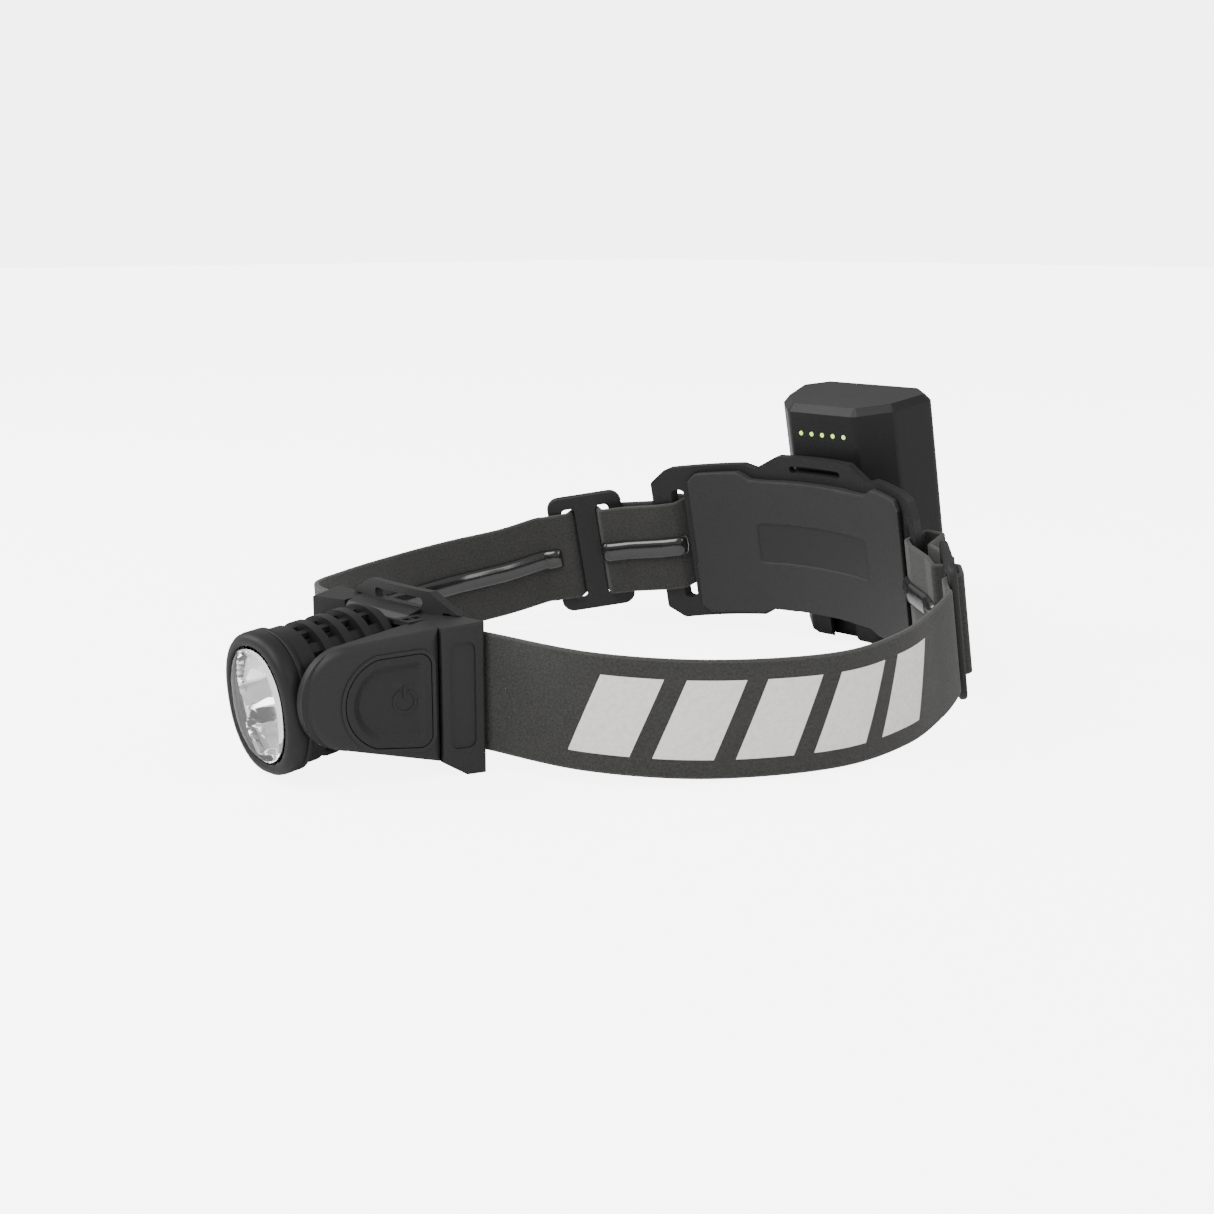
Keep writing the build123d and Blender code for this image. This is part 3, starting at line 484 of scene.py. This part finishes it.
def rounded_path(points, radii, steps=6):
    """Straight runs joined by arcs, in a plane; every point is (a, b)."""
    line = [Vector(points[0])]
    for before, corner, after, radius in zip(points, points[1:], points[2:], radii):
        before, corner, after = Vector(before), Vector(corner), Vector(after)
        first, second = (before - corner).normalized(), (after - corner).normalized()
        half_turn = first.angle(second) / 2
        reach = radius / math.tan(half_turn)
        centre = corner + (first + second).normalized() * (radius / math.sin(half_turn))
        start, end = corner + first * reach - centre, corner + second * reach - centre
        for k in range(steps + 1):
            line.append(centre + start.slerp(end, k / steps))
    line.append(Vector(points[-1]))
    return line


# ------------------------------------------------------------------ webbing route
# Lengths in millimetres. The edges' points are (x, y, z) in the headband's own plan.
STRAP_WIDTH = 30.0
STRAP_THICK = 1.4
HOLDER_STRAP_OUT = -3.0
SLIDER_CENTRE = Vector((74.15, -30.6))
SLIDER_TURN = math.radians(48.0)
SLIDER_LENGTH = 25.0
SLIDER_BAR = 7.0
SLIDER_THICK = 2.4
STRAP_MID_V = -21.5
STRAP_BEHIND = -(SLIDER_THICK + STRAP_THICK) / 2 - 0.1
ARCH_RISE = 4.0
PLATE_RADIUS = 78.0
PLATE_THICK = 2.5
PAD_THICK = 3.0
SLOT_X = 47.1
STRAP_LOW = [(55.2, -61.1, 3.7), (75.2, -39.2, 1.5), (89.2, -8.5, 0.9), (92.6, 16.0, 2.6), (88.6, 37.0, 5.0)]
STRAP_HIGH = [(57.6, -61.2, 33.6), (77.0, -38.6, 31.4), (90.3, -9.4, 30.8), (91.8, 13.1, 32.4),
              (87.6, 31.6, 34.8)]


def slider_point(along, out):
    """A point of the slider in plan, along the webbing and outwards from its middle."""
    a = Vector((-math.cos(SLIDER_TURN), math.sin(SLIDER_TURN)))
    o = Vector((math.sin(SLIDER_TURN), math.cos(SLIDER_TURN)))
    return tuple(SLIDER_CENTRE + a * along + o * out)


def plate_depth(x, offset):
    """Depth of the rear plate's curved face at x, or of a face parallel to it."""
    radius = PLATE_RADIUS + offset
    return PAD_THICK - PLATE_RADIUS + math.sqrt(radius * radius - x * x)


def catmull(points, steps):
    """A smooth curve through the points, the last point included."""
    line = []
    for k in range(len(points) - 1):
        p0, p1 = points[max(k - 1, 0)], points[k]
        p2, p3 = points[k + 1], points[min(k + 2, len(points) - 1)]
        for step in range(steps):
            t = step / steps
            line.append(0.5 * ((2 * p1) + (p2 - p0) * t + (2 * p0 - 5 * p1 + 4 * p2 - p3) * t * t
                               + (3 * p1 - p0 - 3 * p2 + p3) * t ** 3))
    line.append(points[-1])
    return line


def front_run():
    """Lower and upper edges of the webbing from the holder to the slider."""
    shift = Vector((0, SHIFT_Y, 0))
    lows = [arm_point(-2.0, 5.3, HOLDER_STRAP_OUT), arm_point(0.6, 5.3, HOLDER_STRAP_OUT)]
    highs = [point + Vector((0, 0, STRAP_WIDTH * MM)) for point in lows]
    lows += [Vector(p) * MM + shift for p in STRAP_LOW]
    highs += [Vector(p) * MM + shift for p in STRAP_HIGH]
    start = -SLIDER_LENGTH / 2 - 2.0
    for along in (start - 3.0, start):
        x, depth = slider_point(along, STRAP_BEHIND)
        lows.append(rear_point(x, depth, STRAP_MID_V - STRAP_WIDTH / 2))
        highs.append(rear_point(x, depth, STRAP_MID_V + STRAP_WIDTH / 2))
    return catmull(lows, 14), catmull(highs, 14)


def rear_run():
    """Middle line of the webbing in the leaning plan, through the slider and the plate."""
    arch = SLIDER_BAR / 2 + 0.9
    inner, lay = STRAP_BEHIND, STRAP_THICK + 0.1
    face, back = plate_depth(SLOT_X, 0), plate_depth(SLOT_X, PLATE_THICK)
    points = [slider_point(-SLIDER_LENGTH / 2 - 2.0, inner), slider_point(-arch - 1.4, inner),
              slider_point(-arch, ARCH_RISE), slider_point(arch, ARCH_RISE),
              slider_point(arch + 1.0, inner - lay),
              (SLOT_X + 12.5, plate_depth(SLOT_X + 12.5, 0) - 3.0), (SLOT_X + 3.4, face - 6.4),
              (SLOT_X, face - 2.0), (SLOT_X, back + 4.6), (55.1, back + 5.0), (62.1, back - 1.2),
              slider_point(SLIDER_LENGTH / 2 - 2.6, -inner)]
    radii = [1.0, 1.9, 1.9, 1.0, 5.0, 2.6, 1.6, 2.0, 2.6, 8.0]
    return rounded_path(points, radii)


def strap_edges():
    """The whole route as pairs of lower and upper edge points."""
    lows, highs = front_run()
    for x, depth in rear_run()[1:]:
        lows.append(rear_point(x, depth, STRAP_MID_V - STRAP_WIDTH / 2))
        highs.append(rear_point(x, depth, STRAP_MID_V + STRAP_WIDTH / 2))
    return lows, highs


def resample(lows, highs, gap):
    """Points of the route at even steps, so that weave and mesh stay regular."""
    middles = [(a + b) / 2 for a, b in zip(lows, highs)]
    travel = [0.0]
    for a, b in zip(middles, middles[1:]):
        travel.append(travel[-1] + (b - a).length)
    count = max(2, round(travel[-1] / gap))
    stations, k = [], 0
    for step in range(count + 1):
        distance = travel[-1] * step / count
        while k < len(travel) - 2 and travel[k + 1] < distance:
            k += 1
        span = max(travel[k + 1] - travel[k], 1e-9)
        share = min(max((distance - travel[k]) / span, 0), 1)
        stations.append((distance, lows[k].lerp(lows[k + 1], share), highs[k].lerp(highs[k + 1], share)))
    return stations


def station_frames(stations):
    """(distance, middle, up, outward) at each station."""
    frames = []
    middles = [(low + high) / 2 for _, low, high in stations]
    for k, (distance, low, high) in enumerate(stations):
        along = middles[min(k + 1, len(middles) - 1)] - middles[max(k - 1, 0)]
        up = (high - low).normalized()
        outward = along.cross(up).normalized()
        frames.append((distance, middles[k], up, outward))
    return frames


ROUTE = station_frames(resample(*strap_edges(), 0.6 * MM))


def band_section(width, thick, corner):
    """Rounded rectangle, as (across, outward) pairs in millimetres."""
    section = []
    for across, out, start in ((1, 1, 0), (-1, 1, 90), (-1, -1, 180), (1, -1, 270)):
        for step in range(4):
            angle = math.radians(start + step * 30)
            section.append((across * (width / 2 - corner) + corner * math.cos(angle),
                            out * (thick / 2 - corner) + corner * math.sin(angle)))
    return section


def sweep_band(name, frames, section, mirror, lift=0.0, height=0.0):
    """A closed band along the route with a UV map of (along, across) in metres."""
    bm = bmesh.new()
    layer = bm.loops.layers.uv.new("strap")
    side = -1 if mirror else 1
    rings = []
    for distance, middle, up, outward in frames:
        ring = []
        for across, out in section:
            point = middle + up * ((across + height) * MM) + outward * ((out + lift) * MM)
            vert = bm.verts.new((point.x * side, point.y, point.z))
            ring.append((vert, distance, across * MM))
        rings.append(ring)
    count = len(section)
    for ring, following in zip(rings, rings[1:]):
        for k in range(count):
            m = (k + 1) % count
            corners = (ring[k], ring[m], following[m], following[k])
            face = bm.faces.new([corner[0] for corner in corners])
            for loop, corner in zip(face.loops, corners):
                loop[layer].uv = (corner[1], corner[2])
    for ring in (rings[0], rings[-1]):
        face = bm.faces.new([corner[0] for corner in ring])
        for loop, corner in zip(face.loops, ring):
            loop[layer].uv = (corner[1], corner[2])
    bmesh.ops.recalc_face_normals(bm, faces=bm.faces)
    mesh = bpy.data.meshes.new(name)
    bm.to_mesh(mesh)
    bm.free()
    return mesh


def make_straps():
    section = band_section(STRAP_WIDTH, STRAP_THICK, 0.45)
    for side in ("left", "right"):
        mesh = sweep_band("webbing_" + side, ROUTE, section, side == "right")
        piece = finish_mesh("webbing_" + side, "headband", "webbing", mesh)
        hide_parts("strap_" + side)


def between(start, end):
    """The stations of the route from one distance to another."""
    return [station for station in ROUTE if start <= station[0] <= end]


# The ridge's section as (across, outward), and its runs before and after the slider.
RIDGE_SECTION = [(3.4, 0.3), (3.4, -0.3), (3.05, -1.0), (2.1, -1.6), (0.0, -1.85),
                 (-2.1, -1.6), (-3.05, -1.0), (-3.4, -0.3), (-3.4, 0.3)]
RIDGE_START, RIDGE_PAST_SLIDER = 14.0, 5.0
RIDGE_REAR_START, RIDGE_REAR_END = 26.0, 56.0
RIDGE_TAPER, RIDGE_SINK = 2.5, 1.2


def make_grips():
    """Glossy ridge along the inside of the webbing, broken at the slider."""
    front_length = slider_distance()
    pieces = [(RIDGE_START * MM, front_length + RIDGE_PAST_SLIDER * MM),
              (front_length + RIDGE_REAR_START * MM, front_length + RIDGE_REAR_END * MM)]
    for side in ("left", "right"):
        for index, (start, end) in enumerate(pieces):
            name = "silicone_ridge_" + side + ("" if index == 0 else "_rear")
            mesh = sweep_band(name, taper_in(between(start, end)), RIDGE_SECTION, side == "right",
                              lift=-STRAP_THICK / 2 - 0.05)
            piece = finish_mesh(name, "headband", "grip_silicone", mesh, smooth=60)
            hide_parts("grip_strip_" + side)


def slider_distance():
    """Distance along the route where the webbing reaches the slider."""
    x, depth = slider_point(-SLIDER_LENGTH / 2 - 2.0, STRAP_BEHIND)
    target = rear_point(x, depth, STRAP_MID_V)
    return min(ROUTE, key=lambda item: (item[1] - target).length)[0]


def taper_in(frames):
    """Sinks the ridge into the webbing at both ends."""
    shaped, reach = [], RIDGE_TAPER * MM
    first, last = frames[0][0], frames[-1][0]
    for distance, middle, up, outward in frames:
        near = min(distance - first, last - distance)
        sink = RIDGE_SINK * MM * max(0.0, 1 - near / reach) ** 2
        shaped.append((distance, middle + outward * sink, up, outward))
    return shaped


PRINT_START, PRINT_PITCH, PRINT_COUNT = 30.0, 20.5, 5
PRINT_WIDTH, PRINT_HEIGHT, PRINT_SLANT = 15.0, 20.0, 7.0
PRINT_THICK, PRINT_LIFT = 0.08, 0.06
PRINT_COLUMNS, PRINT_ROWS = 26, 10


def print_bar(bm, layer, start, sign):
    """One slanted bar, which starts at a distance along the webbing."""
    rows = []
    for i in range(PRINT_COLUMNS + 1):
        reach = start + PRINT_WIDTH * i / PRINT_COLUMNS
        row = []
        for j in range(PRINT_ROWS + 1):
            across = (j / PRINT_ROWS - 0.5) * PRINT_HEIGHT
            row.append(bm.verts.new(on_route(reach + PRINT_SLANT * j / PRINT_ROWS, across, sign)))
        rows.append((row, reach))
    for (row, u), (following, u_next) in zip(rows, rows[1:]):
        for j in range(PRINT_ROWS):
            face = bm.faces.new((row[j], following[j], following[j + 1], row[j + 1]))
            values = ((u, j), (u_next, j), (u_next, j + 1), (u, j + 1))
            for loop, (reach, step) in zip(face.loops, values):
                loop[layer].uv = (reach * MM, (step / PRINT_ROWS - 0.5) * PRINT_HEIGHT * MM)


def make_prints():
    """Slanted reflective bars on the outside of the webbing."""
    for side in ("left", "right"):
        bm = bmesh.new()
        layer = bm.loops.layers.uv.new("strap")
        sign = -1 if side == "right" else 1
        for index in range(PRINT_COUNT):
            print_bar(bm, layer, PRINT_START + PRINT_PITCH * index, sign)
        bmesh.ops.recalc_face_normals(bm, faces=bm.faces)
        bmesh.ops.solidify(bm, geom=bm.faces[:], thickness=PRINT_THICK * MM)
        bmesh.ops.recalc_face_normals(bm, faces=bm.faces)
        mesh = bpy.data.meshes.new("reflective_bars_" + side)
        bm.to_mesh(mesh)
        bm.free()
        finish_mesh("reflective_bars_" + side, "headband", "webbing", mesh, REFLECTIVE_INK)


def on_route(along, across, sign):
    """A point on the webbing's outer face; the sign picks the side of the head."""
    index = min(range(len(ROUTE)), key=lambda k: abs(ROUTE[k][0] - along * MM))
    distance, middle, up, outward = ROUTE[index]
    other = ROUTE[min(index + 1, len(ROUTE) - 1)]
    step = along * MM - distance
    tangent = (other[1] - middle).normalized()
    lift = STRAP_THICK / 2 + PRINT_LIFT
    point = middle + tangent * step + up * (across * MM) + outward * (lift * MM)
    return (point.x * sign, point.y, point.z)


# ------------------------------------------------------------------ lamp head
BEZEL_HALF = (14.4, 18.0)
LENS_HALF = (11.1, 14.5)
# Sections of the bezel and the lens, as (forward, grow) pairs for oval_rings.
BEZEL_PROFILE = [(9.2, -0.35), (9.0, -0.6), (9.0, -2.1), (14.4, -2.1), (14.6, -3.1), (15.3, -3.15),
                 (15.75, -2.9), (15.9, -2.4), (15.85, -1.6), (15.5, -0.75), (14.7, -0.2), (13.6, 0.0),
                 (11.5, 0.0), (11.35, -0.1), (11.25, -0.45), (10.95, -0.45), (10.85, -0.1), (10.7, 0.0),
                 (9.6, 0.0)]
LENS_PROFILE = [(13.0, 0.9), (14.4, 0.9), (14.5, 0.1), (15.6, 0.0), (16.1, -0.4), (16.5, -1.6),
                (16.8, -3.2), (17.05, -5.4), (17.2, -8.0), (17.25, -10.6)]


def make_bezel():
    """Bevelled ring round the lens, with a fine groove round its side."""
    bm = bmesh.new()
    oval_rings(bm, BEZEL_HALF, BEZEL_PROFILE, True)
    piece = finish_mesh("bezel_ring", "lamp_head", "head_black", mesh_from(bm, "bezel_ring"), smooth=50)
    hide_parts("bezel")


def make_lens():
    """Solid, crowned lens, stepped at its edge to sit under the bezel."""
    bm = bmesh.new()
    oval_rings(bm, LENS_HALF, LENS_PROFILE, False)
    piece = finish_mesh("lens_glass", "lamp_head", "clear_lens", mesh_from(bm, "lens_glass"), smooth=60)
    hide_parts("lens")


# Height of the middle, radius, depth and facets of each bowl; no facets leaves it round.
BOWLS = ((5.0, 9.4, 10.6, 0), (-7.2, 7.6, 9.6, 6))


def reflector_depth(x, w):
    """Depth of the two bowls below the rim; the lower one is faceted."""
    depth = 0.0
    for rise, radius, deep, facets in BOWLS:
        away_x, away_w = x, w - HEAD_RISE - rise
        distance = math.hypot(away_x, away_w * 0.92)
        if facets:
            angle = math.atan2(away_w, away_x)
            sector = math.tau / facets
            local = (angle % sector) - sector / 2
            distance = distance * math.cos(local) / math.cos(sector / 4)
        share = distance / radius
        if share < 1:
            depth = max(depth, deep * (1 - share ** 2) ** 0.8)
    return depth


REFLECTOR_RIM, REFLECTOR_BACK = 12.1, 0.95
REFLECTOR_GROW, REFLECTOR_BASE_HALF = 0.2, (7.3, 10.5)


def make_reflector():
    """Closed body with the two bowls in its front face."""
    bm = bmesh.new()
    rim, back = REFLECTOR_RIM, REFLECTOR_BACK
    rings, spokes = 46, 128
    rim_half = (LENS_HALF[0] + REFLECTOR_GROW, LENS_HALF[1] + REFLECTOR_GROW)
    grid = [[bm.verts.new(head_point(0, HEAD_RISE, rim - reflector_depth(0, HEAD_RISE)))]]
    for r in range(1, rings + 1):
        grow = r / rings
        line = []
        for k in range(spokes):
            x, w = oval_point(rim_half, 0, math.tau * k / spokes)
            x, w = x * grow, HEAD_RISE + (w - HEAD_RISE) * grow
            line.append(bm.verts.new(head_point(x, w, rim - reflector_depth(x, w))))
        grid.append(line)
    for k in range(spokes):
        bm.faces.new((grid[0][0], grid[1][k], grid[1][(k + 1) % spokes]))
    for r in range(1, rings):
        for k in range(spokes):
            m = (k + 1) % spokes
            bm.faces.new((grid[r][k], grid[r + 1][k], grid[r + 1][m], grid[r][m]))
    base = []
    for k in range(spokes):
        x, w = oval_point(REFLECTOR_BASE_HALF, 0, math.tau * k / spokes)
        base.append(bm.verts.new(head_point(x, w, back)))
    for k in range(spokes):
        m = (k + 1) % spokes
        bm.faces.new((grid[rings][k], base[k], base[m], grid[rings][m]))
    bm.faces.new(base)
    mesh = mesh_from(bm, "reflector_bowls")
    piece = finish_mesh("reflector_bowls", "lamp_head", "reflector_chrome", mesh, smooth=22)
    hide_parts("reflector")


# ------------------------------------------------------------------ pads
FOREHEAD_PAD_HALF, FOREHEAD_PAD_CORNER, FOREHEAD_PAD_THICK = (23.0, 13.0), 6.0, 4.4
FOREHEAD_PAD_FACE, FOREHEAD_PAD_HEIGHT = -72.9, 16.8
BRACKET_RADIUS = 120.0
CROWN_EDGE, CROWN_REACH = 0.35, 4.5
REAR_PAD_VOXEL = 0.42


def smooth_step(value):
    value = min(max(value, 0.0), 1.0)
    return value * value * (3 - 2 * value)


def rounded_distance(x, y, half, corner):
    """Distance inside a rounded rectangle; negative outside."""
    dx, dy = abs(x) - (half[0] - corner), abs(y) - (half[1] - corner)
    outside = math.hypot(max(dx, 0), max(dy, 0))
    return corner - outside - min(max(dx, dy), 0)


def make_forehead_pad():
    """Soft foam pad with a crowned face and rounded corners, glued behind the bracket."""
    bm = bmesh.new()
    half, corner, thick = FOREHEAD_PAD_HALF, FOREHEAD_PAD_CORNER, FOREHEAD_PAD_THICK
    columns, rows = 72, 44
    front, back = {}, {}
    for i in range(columns + 1):
        for j in range(rows + 1):
            u, v = 2 * i / columns - 1, 2 * j / rows - 1
            square = max(abs(u), abs(v), 1e-6)
            angle = math.atan2(v * half[1], u * half[0])
            x, z = fit_rounded(angle, half, corner)
            x, z = x * square, z * square
            depth = rounded_distance(x, z, half, corner)
            rise = smooth_step(depth / CROWN_REACH) ** 0.6
            crown = thick * (CROWN_EDGE + (1 - CROWN_EDGE) * rise)
            arc = BRACKET_RADIUS - math.sqrt(BRACKET_RADIUS * BRACKET_RADIUS - x * x)
            base = Vector((x * MM, (FOREHEAD_PAD_FACE + arc) * MM + SHIFT_Y,
                           (FOREHEAD_PAD_HEIGHT + z) * MM))
            front[i, j] = bm.verts.new(base)
            back[i, j] = bm.verts.new(base + Vector((0, crown * MM, 0)))
    for i in range(columns):
        for j in range(rows):
            for grid in (front, back):
                bm.faces.new((grid[i, j], grid[i + 1, j], grid[i + 1, j + 1], grid[i, j + 1]))
    for i in range(columns):
        for j in (0, rows):
            bm.faces.new((front[i, j], front[i + 1, j], back[i + 1, j], back[i, j]))
    for j in range(rows):
        for i in (0, columns):
            bm.faces.new((front[i, j], front[i, j + 1], back[i, j + 1], back[i, j]))
    piece = finish_mesh("foam_pad", "headband", "pad_foam", mesh_from(bm, "foam_pad"), smooth=60)
    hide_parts("forehead_pad")


def make_rear_pad():
    """The moulded pad of the rear plate, with soft, rounded edges."""
    source = bpy.data.objects.new("pad_source", NODES["rear_pad"].data.copy())
    bpy.context.scene.collection.objects.link(source)
    even = source.modifiers.new("even", "REMESH")
    even.mode = "VOXEL"
    even.voxel_size = REAR_PAD_VOXEL * MM
    soft = source.modifiers.new("soft", "SMOOTH")
    soft.factor = 0.5
    soft.iterations = 3
    graph = bpy.context.evaluated_depsgraph_get()
    mesh = bpy.data.meshes.new_from_object(source.evaluated_get(graph))
    bpy.data.objects.remove(source)
    piece = finish_mesh("moulded_pad", "headband", "pad_rubber", mesh, smooth=180)
    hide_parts("rear_pad")


def fit_rounded(angle, half, corner):
    """Point of the rounded rectangle's outline in the given direction."""
    c, s = math.cos(angle), math.sin(angle)
    low, high = 0.0, math.hypot(*half) + 1
    for _ in range(24):
        middle = (low + high) / 2
        if rounded_distance(c * middle, s * middle, half, corner) > 0:
            low = middle
        else:
            high = middle
    return c * low, s * low


# ------------------------------------------------------------------ CAD nodes that stay
def carry_nodes():
    """CAD nodes that keep their shape get their procedural finish."""
    slots = {entry["node"]: entry["material_slot"] for entry in frame["record"]["subparts"]}
    for name, node in NODES.items():
        material = MATERIALS[slots[name]]
        if not node.material_slots:
            node.data.materials.append(material)
        for holder in node.material_slots:
            holder.material = material


# ------------------------------------------------------------------ build
set_camera()
set_stage()
carry_nodes()
make_straps()
make_grips()
make_prints()
make_bezel()
make_lens()
make_reflector()
make_forehead_pad()
make_rear_pad()
